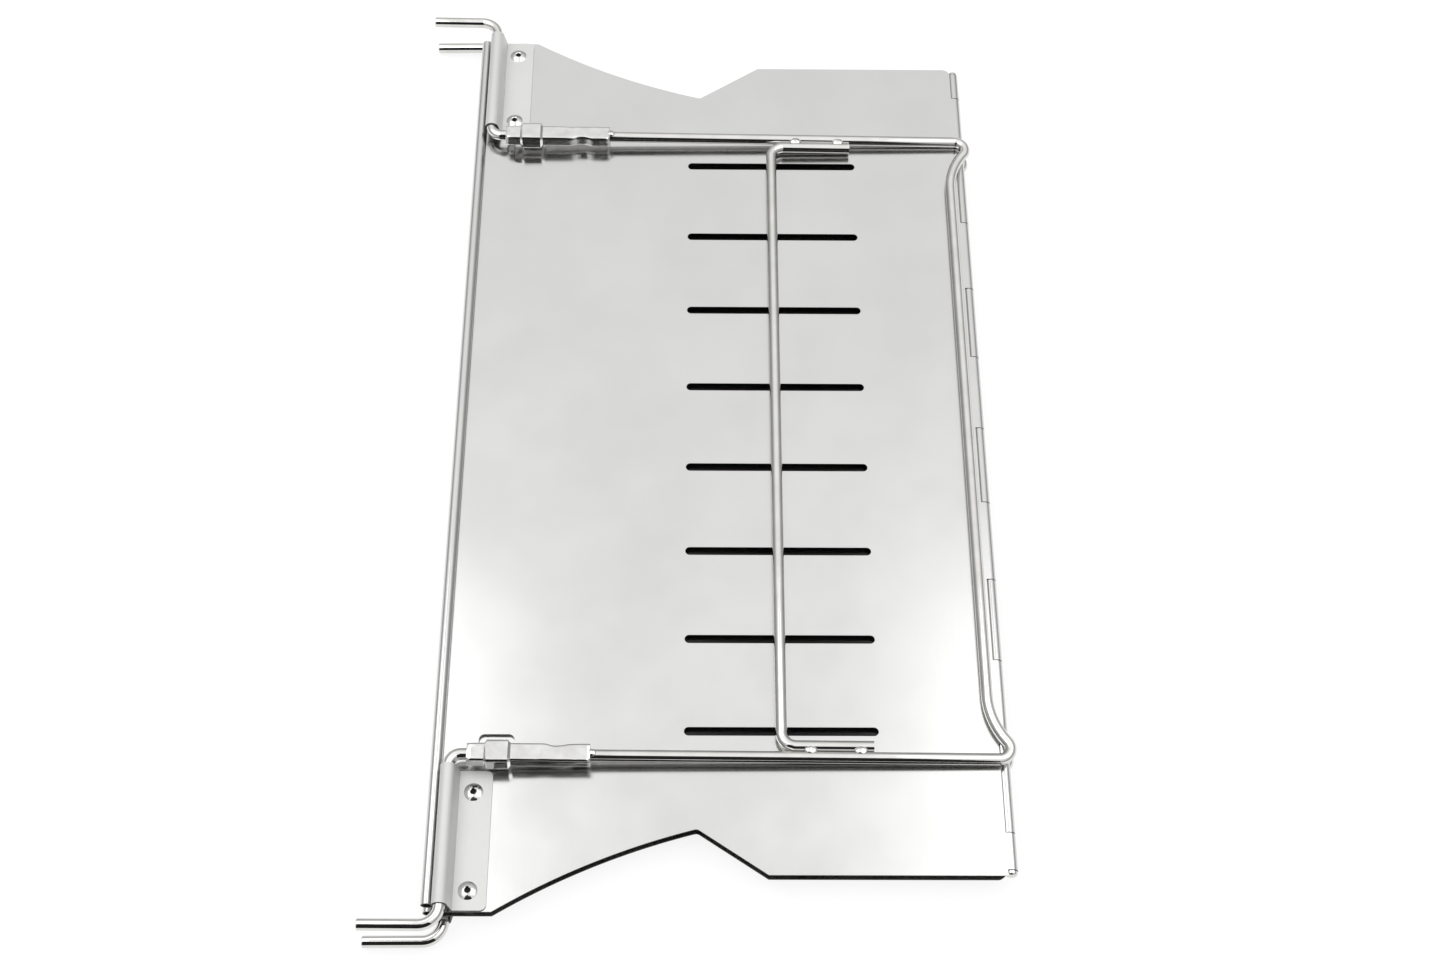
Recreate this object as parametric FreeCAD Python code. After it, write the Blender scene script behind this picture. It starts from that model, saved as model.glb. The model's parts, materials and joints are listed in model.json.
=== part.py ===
"""Folding fire pit stand, lying folded flat: all stainless steel, millimetres.

Two slotted sheet leaves lie face to face and turn on one long hinge pin. On the outer
face of each leaf lies a bent wire leg frame, which turns in two riveted knuckle straps
near the leaf's free edge. The pack is the same after half a turn about the X axis through
the pin, so every lower piece is its upper twin turned over.

Frame of the model: X runs from the free hemmed edges to the hinge, Y along the hinge pin,
Z up. The origin is under the middle of the folded pack, on the surface it lies on.
While the pieces are made, x = 0 is the outer edge of the hems and z = 0 is the pin's axis.
"""
import FreeCAD, Part
import math
import os

from FreeCAD import Vector

# Sheet and leaf
SHEET = 0.5
LEAF_HALF = 174.7          # half the length of the leaf beside the hinge
END_HALF = 187.5           # half the length of the leaf beside its hemmed edge
END_FLAT_X = 22.6          # where the hemmed end starts to narrow
NOTCH_X = 88.8             # the tip of the notch in each end
NOTCH_HALF = 158.6
NOTCH_RADIUS = 2.0
SHOULDER_X = 112.2         # where the end is back at full length
END_SAG = 2.7              # how far the long end curve hollows inwards
HINGE_CORNER_RADIUS = 3.0  # the leaf's corner beside the other leaf's end knuckle

# Hem rolled on the free edge, on the outer face
HEM_DIAMETER = 3.9
HEM_HALF = 186.0
HEM_WRAP = 290.0

# Vent slots
SLOT_COUNT = 8
SLOT_PITCH = 35.2
SLOT_START_X = 84.2
SLOT_END_X = 149.9
SLOT_WIDTH = 3.2
SLOT_END_FLAT = 0.02       # left straight at each slot's round ends

# Hinge between the leaves
PIN_RADIUS = 1.5
PIN_CLEARANCE = 0.05
PIN_HEAD_RADIUS = 1.9
PIN_HEAD_LENGTH = 1.7
PIN_HEAD_ROUNDING = 1.1
PIN_HEAD_GAP = 0.3
HINGE_OUTER_X = 193.6
HINGE_KNUCKLE = 31.9       # pitch of the full knuckles
HINGE_WRAP = 290.0
HINGE_AXIAL_GAP = 0.3
HINGE_EDGE_BACK = 1.4      # the cut edge of the sheet stays this far from the pin's axis
KNUCKLE_LEAD = 0.5         # how far a knuckle's strip reaches into the sheet it grows from
END_KNUCKLE_BACK = 2.2     # the end knuckles stop short of the leaf's end for the pin's head

# Stamped pocket under each sleeve collar
POCKET_START_X = 15.4
POCKET_END_X = 27.4
POCKET_INNER_HALF = 124.5
POCKET_OUTER_HALF = 137.5
POCKET_DEPTH = 1.2
POCKET_RADIUS = 2.0

# Knuckle strap: a flat foot, a steep riser and a loop round the hook wire
STRAP_END_X = 20.9
STRAP_INNER_HALF = 138.3
STRAP_OUTER_HALF = 187.3
STRAP_CORNER_RADIUS = 2.0
STRAP_RISER_DEG = 78.0
STRAP_BEND_RADIUS = 0.6
LOOP_X = 6.4               # axis of the loop, round which the leg frame swings
LOOP_HEIGHT = 5.2          # that axis above the leaf's outer face
LOOP_CLEARANCE = 0.08
LOOP_WRAP = 300.0

# Blind rivets
RIVET_X = 14.75
RIVET_HALVES = (145.9, 180.5)
RIVET_RADIUS = 1.6
RIVET_HOLE_RADIUS = 1.65
RIVET_HEAD_RADIUS = 3.2
RIVET_HEAD_HEIGHT = 1.0
RIVET_BLIND_RADIUS = 2.3
RIVET_BLIND_HEIGHT = 1.1
RIVET_BORE_RADIUS = 1.0
RIVET_BORE_DEPTH = 2.4

# Wire frame
WIRE_RADIUS = 2.0
POST_TIP_X = -19.4
POST_HALF = 194.0
POST_BEND_RADIUS = 6.5
ARM_HALF = 134.3
ARM_BEND_RADIUS = 4.0
TIP_CHAMFER = 0.4
FOOT_OUTER_X = 195.7
FOOT_BEND_RADIUS = 4.0
FOOT_LEAN_DEG = 38.0       # slant of the foot's return from the line of the crossbar
FOOT_BACK_RADIUS = 28.0
CROSSBAR_X = 187.0
CROSSBAR_GAP = 0.3         # crossbar above the leaf's outer face
BRACE_X = 116.9
BRACE_END_X = 147.8
BRACE_BEND_RADIUS = 5.0
BRACE_GAP = 0.05           # between the brace's short legs and the arms
BRACE_WELD_X = (126.6, 143.3)
BRACE_WELD_RADII = (2.4, 1.7, 1.1)
BRACE_WELD_RISE = 1.3      # of a bead's middle above the wires' axes

# Sleeve that joins a hook wire to the leg wire
SLEEVE_START_X = 12.3
SLEEVE_END_X = 53.1
SLEEVE_WIDTH = 6.8
SLEEVE_HEIGHT = 5.2
SLEEVE_EDGE_RADIUS = 1.1
SLEEVE_WELD_RADII = (1.7, 1.5, 0.9)
SLEEVE_WELD_OUT = 0.6      # of a tack's middle past the sleeve's end
SLEEVE_WELD_RISE = 2.1
COLLAR_START_X = 18.2
COLLAR_END_X = 26.6
COLLAR_BULGE = 0.9
COLLAR_EDGE_RADIUS = 0.7
UPSET_RADIUS = 2.8
UPSET_LENGTH = 1.2
UPSET_GAP = 0.3

# A point counts as being at a place within this distance
NEARBY = 1e-3
PARALLEL = 1e-6           # sine of the angle below which two directions count as parallel
VOLUME_SLACK = 0.01       # share of a wire's volume its bends may be off by
SLEEVE_CUT_PAST = 1.0     # how far the sleeve's inside is cut past its ends
NOTCH_SEARCH = 0.5

# Derived places
KNUCKLE_OUTER = PIN_RADIUS + PIN_CLEARANCE + SHEET
LEAF_OUTER_Z = KNUCKLE_OUTER
LEAF_INNER_Z = LEAF_OUTER_Z - SHEET
PIN_X = HINGE_OUTER_X - KNUCKLE_OUTER
LOOP_Z = LEAF_OUTER_Z + LOOP_HEIGHT
CROSSBAR_Z = LEAF_OUTER_Z + CROSSBAR_GAP + WIRE_RADIUS
FRAME_TILT_DEG = math.degrees(math.atan2(LOOP_Z - CROSSBAR_Z, CROSSBAR_X - LOOP_X))
JOIN_X = (COLLAR_START_X + COLLAR_END_X) / 2
ALONG_X = Vector(1, 0, 0)
ALONG_Y = Vector(0, 1, 0)
ALONG_Z = Vector(0, 0, 1)


def strip(start, heading_deg, moves, y_from, y_to):
    """A bent strip of the sheet. Its middle line starts at start (x, z) and follows moves:
    ("line", length) or ("arc", radius, turn in degrees, anticlockwise from X to Z)."""
    half = SHEET / 2
    place = Vector(start[0], 0, start[1])
    heading = math.radians(heading_deg)
    left_edges = []
    right_edges = []

    def side(point, angle, offset):
        return point + Vector(-math.sin(angle), 0, math.cos(angle)) * offset

    first = (side(place, heading, half), side(place, heading, -half))
    for move in moves:
        if move[0] == "line":
            step = Vector(math.cos(heading), 0, math.sin(heading)) * move[1]
            after = place + step
            new_heading = heading
            for edges, offset in ((left_edges, half), (right_edges, -half)):
                ends = (side(place, heading, offset), side(after, heading, offset))
                edges.append(Part.LineSegment(*ends).toShape())
        else:
            turn = math.radians(move[2])
            sense = 1 if turn > 0 else -1
            centre = side(place, heading, sense * move[1])
            middle_heading = heading + turn / 2
            new_heading = heading + turn
            middle = side(centre, middle_heading, -sense * move[1])
            after = side(centre, new_heading, -sense * move[1])
            for edges, offset in ((left_edges, half), (right_edges, -half)):
                ends = (side(place, heading, offset), side(middle, middle_heading, offset),
                        side(after, new_heading, offset))
                edges.append(Part.Arc(*ends).toShape())
        place = after
        heading = new_heading
    last = (side(place, heading, half), side(place, heading, -half))
    caps = [Part.LineSegment(*first).toShape(), Part.LineSegment(*last).toShape()]
    outline = Part.Wire(Part.__sortEdges__(left_edges + right_edges + caps))
    face = Part.Face(outline)
    face.translate(ALONG_Y * y_from)
    return face.extrude(ALONG_Y * (y_to - y_from))


def rod(corners, bend_radii, radius):
    """A round wire through the corners, with a tangent arc at each inner corner."""
    edges = []
    place = corners[0]
    for before, corner, after, bend in zip(corners, corners[1:], corners[2:], bend_radii):
        towards = (corner - before).normalize()
        away = (after - corner).normalize()
        turn = towards.getAngle(away)
        reach = bend * math.tan(turn / 2)
        arc_start = corner - towards * reach
        arc_end = corner + away * reach
        inward = (away - towards).normalize()
        arc_middle = corner + inward * (bend / math.cos(turn / 2) - bend)
        edges.append(Part.LineSegment(place, arc_start).toShape())
        edges.append(Part.Arc(arc_start, arc_middle, arc_end).toShape())
        place = arc_end
    edges.append(Part.LineSegment(place, corners[-1]).toShape())
    path = Part.Wire(edges)
    section = Part.Wire([Part.makeCircle(radius, corners[0], corners[1] - corners[0])])
    wire = path.makePipeShell([section], True, False)
    expected = math.pi * radius ** 2 * path.Length
    if abs(wire.Volume - expected) > VOLUME_SLACK * expected:
        raise ValueError("a wire's volume does not match its section times its length")
    return wire


def rounded_block(x_from, x_to, y_from, y_to, z_from, z_to, radius, direction):
    """A block whose edges along the given direction are rounded."""
    corner = Vector(x_from, y_from, z_from)
    block = Part.makeBox(x_to - x_from, y_to - y_from, z_to - z_from, corner)
    long_edges = [edge for edge in block.Edges
                  if edge.tangentAt(edge.FirstParameter).cross(direction).Length < PARALLEL]
    return block.makeFillet(radius, long_edges)


def mirrored_in_y(shape):
    return shape.mirror(Vector(0, 0, 0), ALONG_Y)


def turned_over(shape):
    """The lower twin of an upper piece."""
    twin = shape.copy()
    twin.rotate(Vector(0, 0, 0), ALONG_X, 180)
    return twin


def laid_down(shape):
    """Swing a piece of the leg frame about its knuckles until the crossbar nears the leaf."""
    piece = shape.copy()
    piece.rotate(Vector(LOOP_X, 0, LOOP_Z), ALONG_Y, FRAME_TILT_DEG)
    return piece


def leaf_outline():
    """Flat outline of the leaf, from the middle of the hem to the cut edge at the hinge."""
    hem_x = HEM_DIAMETER / 2
    hinge_x = PIN_X - HINGE_EDGE_BACK
    chord_start = Vector(END_FLAT_X, END_HALF, 0)
    chord_end = Vector(NOTCH_X, NOTCH_HALF, 0)
    chord = chord_end - chord_start
    inward = Vector(chord.y, -chord.x, 0).normalize()
    sag_point = (chord_start + chord_end) / 2 + inward * END_SAG
    edges = []
    for sign in (1, -1):
        def at(x, y):
            return Vector(x, sign * y, 0)
        step_x = HEM_DIAMETER
        edges.append(Part.LineSegment(at(hem_x, 0), at(hem_x, HEM_HALF)).toShape())
        edges.append(Part.LineSegment(at(hem_x, HEM_HALF), at(step_x, HEM_HALF)).toShape())
        edges.append(Part.LineSegment(at(step_x, HEM_HALF), at(step_x, END_HALF)).toShape())
        edges.append(Part.LineSegment(at(step_x, END_HALF), at(END_FLAT_X, END_HALF)).toShape())
        edges.append(Part.Arc(at(END_FLAT_X, END_HALF), at(sag_point.x, sag_point.y),
                              at(NOTCH_X, NOTCH_HALF)).toShape())
        edges.append(Part.LineSegment(at(NOTCH_X, NOTCH_HALF),
                                      at(SHOULDER_X, LEAF_HALF)).toShape())
        edges.append(Part.LineSegment(at(SHOULDER_X, LEAF_HALF), at(hinge_x, LEAF_HALF)).toShape())
        edges.append(Part.LineSegment(at(hinge_x, LEAF_HALF), at(hinge_x, 0)).toShape())
    return Part.Wire(Part.__sortEdges__(edges))


def near_points(shape, places, tolerance):
    """The upright edges of the shape that stand at one of the places (x, |y|)."""
    found = []
    for edge in shape.Edges:
        upright = edge.tangentAt(edge.FirstParameter).cross(ALONG_Z).Length < PARALLEL
        point = edge.CenterOfMass
        if upright and any(math.hypot(point.x - x, abs(point.y) - y) < tolerance for x, y in places):
            found.append(edge)
    return found


def knuckle_spans():
    """The stretches of Y that the upper leaf's hinge knuckles take."""
    half_gap = HINGE_AXIAL_GAP / 2
    spans = [((2 * k - 4) * HINGE_KNUCKLE + half_gap, (2 * k - 3) * HINGE_KNUCKLE - half_gap)
             for k in range(5)]
    spans.append((END_KNUCKLE_BACK - LEAF_HALF, -5 * HINGE_KNUCKLE - half_gap))
    return spans


def make_leaf():
    plate = Part.Face(leaf_outline()).extrude(ALONG_Z * SHEET)
    plate = plate.makeFillet(NOTCH_RADIUS, near_points(plate, [(NOTCH_X, NOTCH_HALF)], NOTCH_SEARCH))
    hinge_corner = [edge for edge in near_points(plate, [(PIN_X - HINGE_EDGE_BACK, LEAF_HALF)], NEARBY)
                    if edge.CenterOfMass.y > 0]
    plate = plate.makeFillet(HINGE_CORNER_RADIUS, hinge_corner)
    plate.translate(ALONG_Z * LEAF_INNER_Z)

    middle_z = LEAF_INNER_Z + SHEET / 2
    hem_radius = (HEM_DIAMETER - SHEET) / 2
    hem = strip((HEM_DIAMETER / 2, middle_z), 180, [("arc", hem_radius, -HEM_WRAP)],
                -HEM_HALF, HEM_HALF)
    pieces = [hem]

    pin_ring = KNUCKLE_OUTER - SHEET / 2
    for start, end in knuckle_spans():
        lead = HINGE_EDGE_BACK + KNUCKLE_LEAD
        pieces.append(strip((PIN_X - lead, middle_z), 0,
                            [("line", lead), ("arc", pin_ring, -HINGE_WRAP)], start, end))

    for sign in (1, -1):
        y_low, y_high = sorted((sign * POCKET_INNER_HALF, sign * POCKET_OUTER_HALF))
        pieces.append(rounded_block(POCKET_START_X - SHEET, POCKET_END_X + SHEET,
                                    y_low - SHEET, y_high + SHEET,
                                    LEAF_INNER_Z - POCKET_DEPTH, LEAF_OUTER_Z,
                                    POCKET_RADIUS + SHEET, ALONG_Z))
    leaf = plate.fuse(pieces)

    cuts = []
    for sign in (1, -1):
        y_low, y_high = sorted((sign * POCKET_INNER_HALF, sign * POCKET_OUTER_HALF))
        cuts.append(rounded_block(POCKET_START_X, POCKET_END_X, y_low, y_high,
                                  LEAF_OUTER_Z - POCKET_DEPTH, LEAF_OUTER_Z + SHEET,
                                  POCKET_RADIUS, ALONG_Z))
        for half in RIVET_HALVES:
            cuts.append(Part.makeCylinder(RIVET_HOLE_RADIUS, 2 * SHEET,
                                          Vector(RIVET_X, sign * half, LEAF_INNER_Z - SHEET / 2)))
    for index in range(SLOT_COUNT):
        y = (index - (SLOT_COUNT - 1) / 2) * SLOT_PITCH
        cuts.append(rounded_block(SLOT_START_X, SLOT_END_X,
                                  y - SLOT_WIDTH / 2, y + SLOT_WIDTH / 2,
                                  LEAF_INNER_Z - SHEET, LEAF_OUTER_Z + SHEET,
                                  (SLOT_WIDTH - SLOT_END_FLAT) / 2, ALONG_Z))
    return leaf.cut(cuts).removeSplitter()


def make_hinge_pin():
    shaft_half = LEAF_HALF - END_KNUCKLE_BACK + PIN_HEAD_GAP
    pin = Part.makeCylinder(PIN_RADIUS, 2 * shaft_half, Vector(PIN_X, -shaft_half, 0), ALONG_Y)
    heads = []
    for sign in (1, -1):
        base = Vector(PIN_X, sign * shaft_half, 0)
        head = Part.makeCylinder(PIN_HEAD_RADIUS, PIN_HEAD_LENGTH, base, ALONG_Y * sign)
        rim = [edge for edge in head.Edges
               if abs(edge.CenterOfMass.y - sign * (shaft_half + PIN_HEAD_LENGTH)) < NEARBY]
        heads.append(head.makeFillet(PIN_HEAD_ROUNDING, rim))
    return pin.fuse(heads).removeSplitter()


def make_strap():
    """The strap at the +Y end of the upper leaf."""
    loop_radius = WIRE_RADIUS + LOOP_CLEARANCE + SHEET / 2
    foot_z = LEAF_OUTER_Z + SHEET / 2
    riser = math.radians(STRAP_RISER_DEG)
    touch_x = LOOP_X + loop_radius * math.sin(riser)
    touch_z = LOOP_Z + loop_radius * math.cos(riser)
    vertex_x = touch_x + (touch_z - foot_z) / math.tan(riser)
    reach = STRAP_BEND_RADIUS * math.tan(riser / 2)
    riser_length = (touch_z - foot_z) / math.sin(riser) - reach
    moves = [("line", STRAP_END_X - vertex_x - reach),
             ("arc", STRAP_BEND_RADIUS, -STRAP_RISER_DEG),
             ("line", riser_length),
             ("arc", loop_radius, LOOP_WRAP)]
    strap = strip((STRAP_END_X, foot_z), 180, moves, STRAP_INNER_HALF, STRAP_OUTER_HALF)
    corners = near_points(strap, [(STRAP_END_X, STRAP_INNER_HALF),
                                  (STRAP_END_X, STRAP_OUTER_HALF)], NEARBY)
    strap = strap.makeFillet(STRAP_CORNER_RADIUS, corners)
    holes = [Part.makeCylinder(RIVET_HOLE_RADIUS, 2 * SHEET,
                               Vector(RIVET_X, half, LEAF_OUTER_Z - SHEET / 2))
             for half in RIVET_HALVES]
    return strap.cut(holes)


def make_rivet(half):
    """A blind rivet: domed head on the strap, swollen end inside the leaf, open bore."""
    seat_z = LEAF_OUTER_Z + SHEET
    blind_top = LEAF_INNER_Z
    sphere_radius = (RIVET_HEAD_RADIUS ** 2 + RIVET_HEAD_HEIGHT ** 2) / (2 * RIVET_HEAD_HEIGHT)
    centre = Vector(RIVET_X, half, seat_z + RIVET_HEAD_HEIGHT - sphere_radius)
    dome = Part.makeSphere(sphere_radius, centre)
    above = Part.makeCylinder(2 * RIVET_HEAD_RADIUS, 2 * RIVET_HEAD_HEIGHT,
                              Vector(RIVET_X, half, seat_z))
    head = dome.common(above)
    shank = Part.makeCylinder(RIVET_RADIUS, seat_z - blind_top, Vector(RIVET_X, half, blind_top))
    blind = Part.makeCylinder(RIVET_BLIND_RADIUS, RIVET_BLIND_HEIGHT,
                              Vector(RIVET_X, half, blind_top - RIVET_BLIND_HEIGHT))
    rim = [edge for edge in blind.Edges
           if abs(edge.CenterOfMass.z - (blind_top - RIVET_BLIND_HEIGHT)) < NEARBY]
    blind = blind.makeFillet(RIVET_BLIND_HEIGHT / 2, rim)
    bore_top = seat_z + 2 * RIVET_HEAD_HEIGHT
    bore_length = RIVET_HEAD_HEIGHT + RIVET_BORE_DEPTH
    bore = Part.makeCylinder(RIVET_BORE_RADIUS, bore_length,
                             Vector(RIVET_X, half, bore_top - bore_length))
    return head.fuse([shank, blind]).cut(bore).removeSplitter()


def upset_end(x_from):
    return Part.makeCylinder(UPSET_RADIUS, UPSET_LENGTH, Vector(x_from, ARM_HALF, LOOP_Z), ALONG_X)


def make_hook_wire():
    """Post beyond the leaf's end, axle in the strap's loop, and a short leg into the sleeve."""
    end_x = JOIN_X - UPSET_GAP / 2
    corners = [Vector(POST_TIP_X, POST_HALF, LOOP_Z), Vector(LOOP_X, POST_HALF, LOOP_Z),
               Vector(LOOP_X, ARM_HALF, LOOP_Z), Vector(end_x, ARM_HALF, LOOP_Z)]
    wire = rod(corners, [POST_BEND_RADIUS, ARM_BEND_RADIUS], WIRE_RADIUS)
    tip = [edge for edge in wire.Edges if abs(edge.CenterOfMass.x - POST_TIP_X) < NEARBY]
    wire = wire.makeChamfer(TIP_CHAMFER, tip)
    return wire.fuse(upset_end(end_x - UPSET_LENGTH)).removeSplitter()


def make_leg_wire():
    """One wire: arm, foot, crossbar, foot and arm."""
    lean = math.radians(FOOT_LEAN_DEG)
    centre_x = FOOT_OUTER_X - WIRE_RADIUS - FOOT_BEND_RADIUS
    reach = FOOT_BEND_RADIUS * math.tan((math.pi / 2 + lean) / 2)
    foot_x = centre_x + reach
    back_half = ARM_HALF - (foot_x - CROSSBAR_X) / math.tan(lean)
    start_x = JOIN_X + UPSET_GAP / 2
    half_route = [(start_x, ARM_HALF), (foot_x, ARM_HALF), (CROSSBAR_X, back_half)]
    corners = [Vector(x, y, LOOP_Z) for x, y in half_route]
    corners += [Vector(x, -y, LOOP_Z) for x, y in reversed(half_route)]
    bends = [FOOT_BEND_RADIUS, FOOT_BACK_RADIUS, FOOT_BACK_RADIUS, FOOT_BEND_RADIUS]
    wire = rod(corners, bends, WIRE_RADIUS)
    upset = upset_end(start_x)
    return wire.fuse([upset, mirrored_in_y(upset)]).removeSplitter()


def make_brace_wire():
    half = ARM_HALF - 2 * WIRE_RADIUS - BRACE_GAP
    corners = [Vector(BRACE_END_X, half, LOOP_Z), Vector(BRACE_X, half, LOOP_Z),
               Vector(BRACE_X, -half, LOOP_Z), Vector(BRACE_END_X, -half, LOOP_Z)]
    return rod(corners, [BRACE_BEND_RADIUS, BRACE_BEND_RADIUS], WIRE_RADIUS)


def sleeve_body(shrink):
    """The sleeve's outside, or its inside when shrunk by the sheet."""
    half_width = SLEEVE_WIDTH / 2 - shrink
    half_height = SLEEVE_HEIGHT / 2 - shrink
    extra = SLEEVE_CUT_PAST if shrink else 0
    tube = rounded_block(SLEEVE_START_X - extra, SLEEVE_END_X + extra,
                         ARM_HALF - half_width, ARM_HALF + half_width,
                         LOOP_Z - half_height, LOOP_Z + half_height,
                         SLEEVE_EDGE_RADIUS - shrink, ALONG_X)
    grown_width = half_width + COLLAR_BULGE
    grown_height = half_height + COLLAR_BULGE
    collar = rounded_block(COLLAR_START_X + shrink, COLLAR_END_X - shrink,
                           ARM_HALF - grown_width, ARM_HALF + grown_width,
                           LOOP_Z - grown_height, LOOP_Z + grown_height,
                           SLEEVE_EDGE_RADIUS + COLLAR_BULGE - shrink, ALONG_X)
    if not shrink:
        rims = [edge for edge in collar.Edges
                if min(abs(edge.BoundBox.XMin - COLLAR_START_X),
                       abs(edge.BoundBox.XMax - COLLAR_END_X)) < NEARBY
                and edge.BoundBox.XLength < NEARBY]
        collar = collar.makeFillet(COLLAR_EDGE_RADIUS, rims)
    return tube.fuse(collar)


def make_sleeve():
    return sleeve_body(0).cut(sleeve_body(SHEET)).removeSplitter()


def bead(centre, radii):
    """A weld bead: an ellipsoid."""
    ball = Part.makeSphere(1.0)
    matrix = FreeCAD.Matrix()
    matrix.scale(*radii)
    blob = ball.transformGeometry(matrix)
    blob.translate(centre)
    return blob


def make_brace_welds(leg_wire, brace_wire):
    """Beads in the valley between each short leg of the brace and its arm."""
    valley_half = ARM_HALF - WIRE_RADIUS - BRACE_GAP / 2
    beads = []
    for sign in (1, -1):
        for x in BRACE_WELD_X:
            blob = bead(Vector(x, sign * valley_half, LOOP_Z + BRACE_WELD_RISE), BRACE_WELD_RADII)
            beads.append(blob.cut([leg_wire, brace_wire]))
    return beads


def make_sleeve_welds(leg_wire):
    """A tack at the end of each sleeve, on top of the arm."""
    tacks = []
    for sign in (1, -1):
        blob = bead(Vector(SLEEVE_END_X + SLEEVE_WELD_OUT, sign * ARM_HALF,
                           LOOP_Z + SLEEVE_WELD_RISE), SLEEVE_WELD_RADII)
        solid_sleeve = sleeve_body(0)
        if sign < 0:
            solid_sleeve = mirrored_in_y(solid_sleeve)
        tacks.append(blob.cut([leg_wire, solid_sleeve]))
    return tacks


def largest_solid(shape):
    return max(shape.Solids, key=lambda solid: solid.Volume)


def upper_pieces():
    """Every node of the upper leaf and of its leg frame, by name."""
    strap = make_strap()
    rivets = Part.makeCompound([make_rivet(half) for half in RIVET_HALVES])
    hook_wire = make_hook_wire()
    sleeve = make_sleeve()
    leg_wire = make_leg_wire()
    brace_wire = make_brace_wire()
    brace_welds = [largest_solid(weld) for weld in make_brace_welds(leg_wire, brace_wire)]
    sleeve_welds = [largest_solid(weld) for weld in make_sleeve_welds(leg_wire)]
    return {
        "leaf": make_leaf(),
        "back_strap": strap,
        "front_strap": mirrored_in_y(strap),
        "back_rivets": rivets,
        "front_rivets": mirrored_in_y(rivets),
        "back_hook_wire": laid_down(hook_wire),
        "front_hook_wire": laid_down(mirrored_in_y(hook_wire)),
        "back_sleeve": laid_down(sleeve),
        "front_sleeve": laid_down(mirrored_in_y(sleeve)),
        "leg_wire": laid_down(leg_wire),
        "brace_wire": laid_down(brace_wire),
        "brace_welds": laid_down(Part.makeCompound(brace_welds)),
        "sleeve_welds": laid_down(Part.makeCompound(sleeve_welds)),
    }


def swapped_ends(name):
    """Turning a piece over swaps the back end and the front end."""
    if name.startswith("back_"):
        return "front_" + name[len("back_"):]
    if name.startswith("front_"):
        return "back_" + name[len("front_"):]
    return name


def main():
    nodes = {"hinge_pin": make_hinge_pin()}
    for name, shape in upper_pieces().items():
        nodes["upper_" + name] = shape
        nodes["lower_" + swapped_ends(name)] = turned_over(shape)

    box = Part.makeCompound(list(nodes.values())).optimalBoundingBox()
    to_origin = Vector(-box.Center.x, 0, -box.ZMin)
    os.makedirs("parts", exist_ok=True)
    for name, shape in nodes.items():
        shape.translate(to_origin)
        shape.exportStep("parts/" + name + ".step")
        print(name, "solids", len(shape.Solids), "valid", shape.isValid(),
              "volume", round(shape.Volume, 1))
    print("size", round(box.XLength, 2), round(box.YLength, 2), round(box.ZLength, 2))
    print("pin axis x", round(PIN_X + to_origin.x, 3), "z", round(to_origin.z, 3))
    for side, sign in (("upper", 1), ("lower", -1)):
        print(side, "loop axis x", round(LOOP_X + to_origin.x, 3),
              "z", round(sign * LOOP_Z + to_origin.z, 3), "tilt", round(FRAME_TILT_DEG, 4))


main()
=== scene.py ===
"""A folding fire pit stand of stainless sheet and wire, lying folded flat.

Every steel piece of the frame is made again here with smooth bends and finished metal.
A piece of the upper leaf or of its leg frame is shaped once; the lower half of the pack
is the same piece after half a turn about the X axis through the hinge pin.
"""

import json
import math

import bmesh
import bpy
from mathutils import Matrix, Vector, noise


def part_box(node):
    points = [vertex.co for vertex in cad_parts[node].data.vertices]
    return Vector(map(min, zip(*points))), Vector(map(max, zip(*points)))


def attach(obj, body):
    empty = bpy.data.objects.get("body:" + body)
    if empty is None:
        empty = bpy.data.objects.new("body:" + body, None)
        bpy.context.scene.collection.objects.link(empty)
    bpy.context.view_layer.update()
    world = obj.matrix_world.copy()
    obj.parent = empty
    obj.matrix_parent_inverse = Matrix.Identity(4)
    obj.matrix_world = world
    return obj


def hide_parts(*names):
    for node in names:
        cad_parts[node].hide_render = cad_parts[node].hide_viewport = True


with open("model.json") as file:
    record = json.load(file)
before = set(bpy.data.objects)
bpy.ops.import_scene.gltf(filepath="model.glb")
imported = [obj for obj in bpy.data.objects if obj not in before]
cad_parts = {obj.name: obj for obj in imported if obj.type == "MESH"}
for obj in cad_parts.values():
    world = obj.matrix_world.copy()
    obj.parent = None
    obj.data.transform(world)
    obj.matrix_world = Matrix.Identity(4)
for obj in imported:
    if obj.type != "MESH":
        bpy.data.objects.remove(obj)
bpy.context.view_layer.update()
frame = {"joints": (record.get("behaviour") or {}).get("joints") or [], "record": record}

MM = 0.001
ALONG_X = Vector((1, 0, 0))
ALONG_Y = Vector((0, 1, 0))
ALONG_Z = Vector((0, 0, 1))

# Stock and fits
SHEET = 0.5 * MM
WIRE_RADIUS = 2.0 * MM
RUNNING_GAP = 0.08 * MM
BARE_GAP = 0.05 * MM
UPSET_RADIUS = 2.8 * MM    # the swollen end of a hook wire, inside its sleeve
JOIN_GAP = 0.3 * MM        # between the ends of the two wires in a sleeve

# Shape of the leaf that its box does not give, from its hemmed edge and from the middle
END_FLAT_X = 22.6 * MM
NOTCH_X = 88.8 * MM
NOTCH_HALF = 158.6 * MM
NOTCH_RADIUS = 2.0 * MM
SHOULDER_X = 112.2 * MM
LEAF_HALF = 174.7 * MM
END_SAG = 2.7 * MM
END_CURVE_STEPS = 20
HEM_DIAMETER = 3.9 * MM
HEM_HALF = 186.0 * MM
HEM_WRAP = math.radians(290)
SLOT_COUNT = 8
SLOT_PITCH = 35.2 * MM
SLOT_START_X = 84.2 * MM
SLOT_END_X = 149.9 * MM
SLOT_WIDTH = 3.2 * MM
SLOT_END_RADIUS = SLOT_WIDTH / 2 * 0.999
PIN_RADIUS = 1.5 * MM
PIN_HEAD_LENGTH = 1.7 * MM
PIN_HEAD_ROUNDING = 1.1 * MM
HINGE_KNUCKLE = 31.9 * MM
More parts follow.
